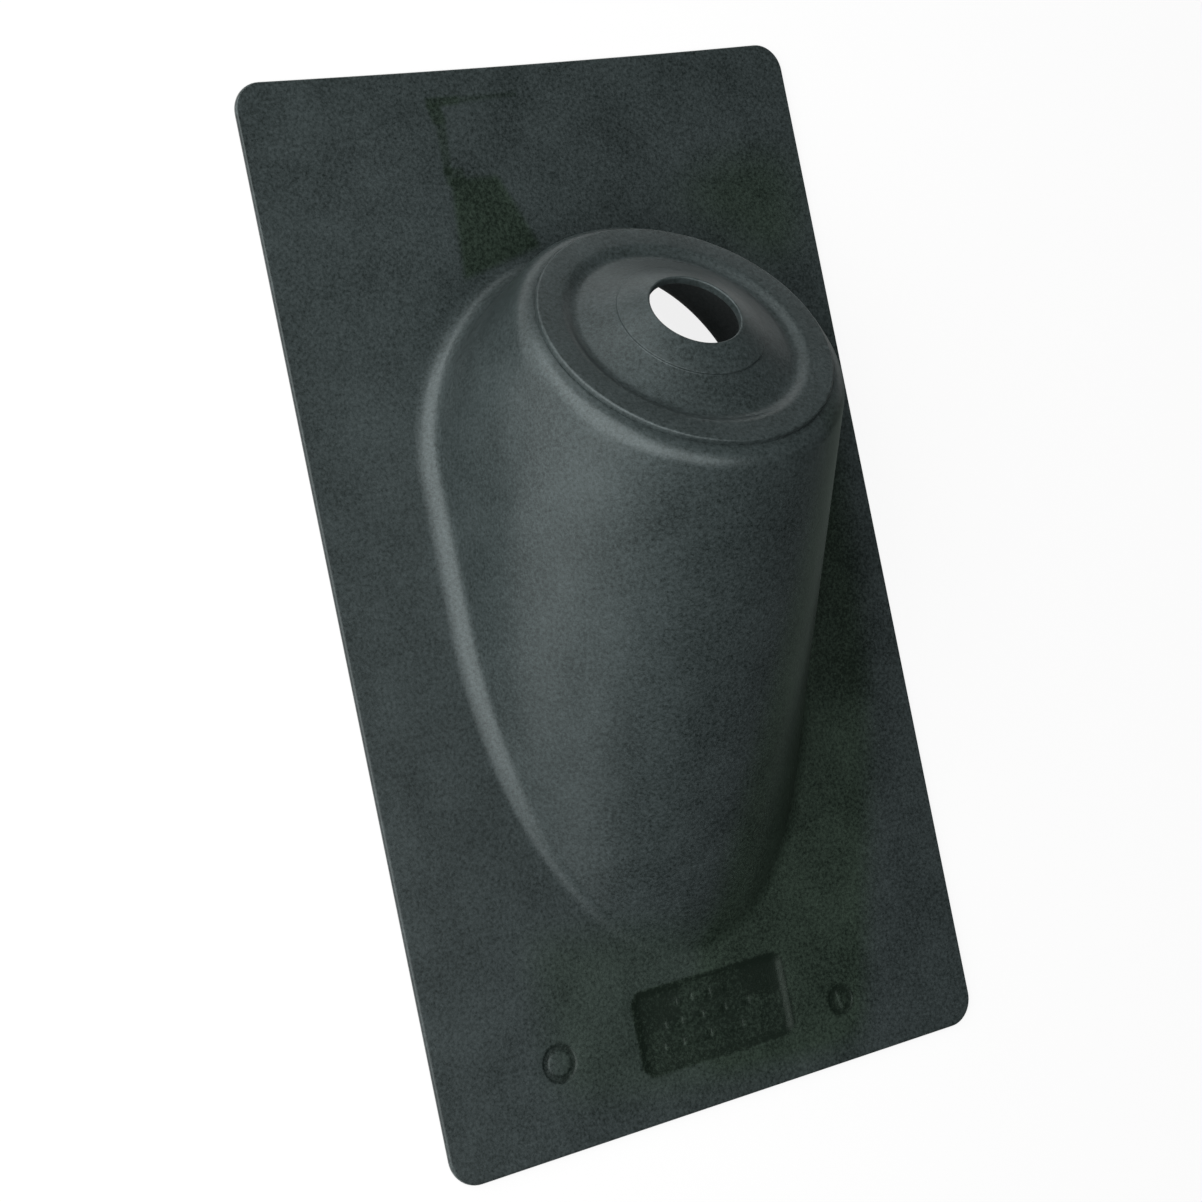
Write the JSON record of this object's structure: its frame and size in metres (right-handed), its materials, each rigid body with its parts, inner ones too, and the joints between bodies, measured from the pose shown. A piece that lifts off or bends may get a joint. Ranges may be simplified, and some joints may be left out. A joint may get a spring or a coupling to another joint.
{
  "type": "roof pipe flashing",
  "caption": "Moulded roof flashing: a flat plate with rounded corners and a slanted dome, whose round top carries a rubber collar that seals a vent pipe.",
  "frame": {"origin": "centre of the plate's underside, on the roof's surface", "axes": "+Y up the roof, along the plate's long side; +Z away from the roof; the pipe leans from +Z towards +Y"},
  "size_m": [0.24, 0.4, 0.1083],
  "materials": {
    "shell": "dark grey moulded plastic with a satin sheen and a faint mottle",
    "seal": "soft dark grey rubber, matt with a faint sheen on its edges"
  },
  "bodies": {
    "root": {"base": "shell", "collar": "seal"}
  },
  "joints": []
}
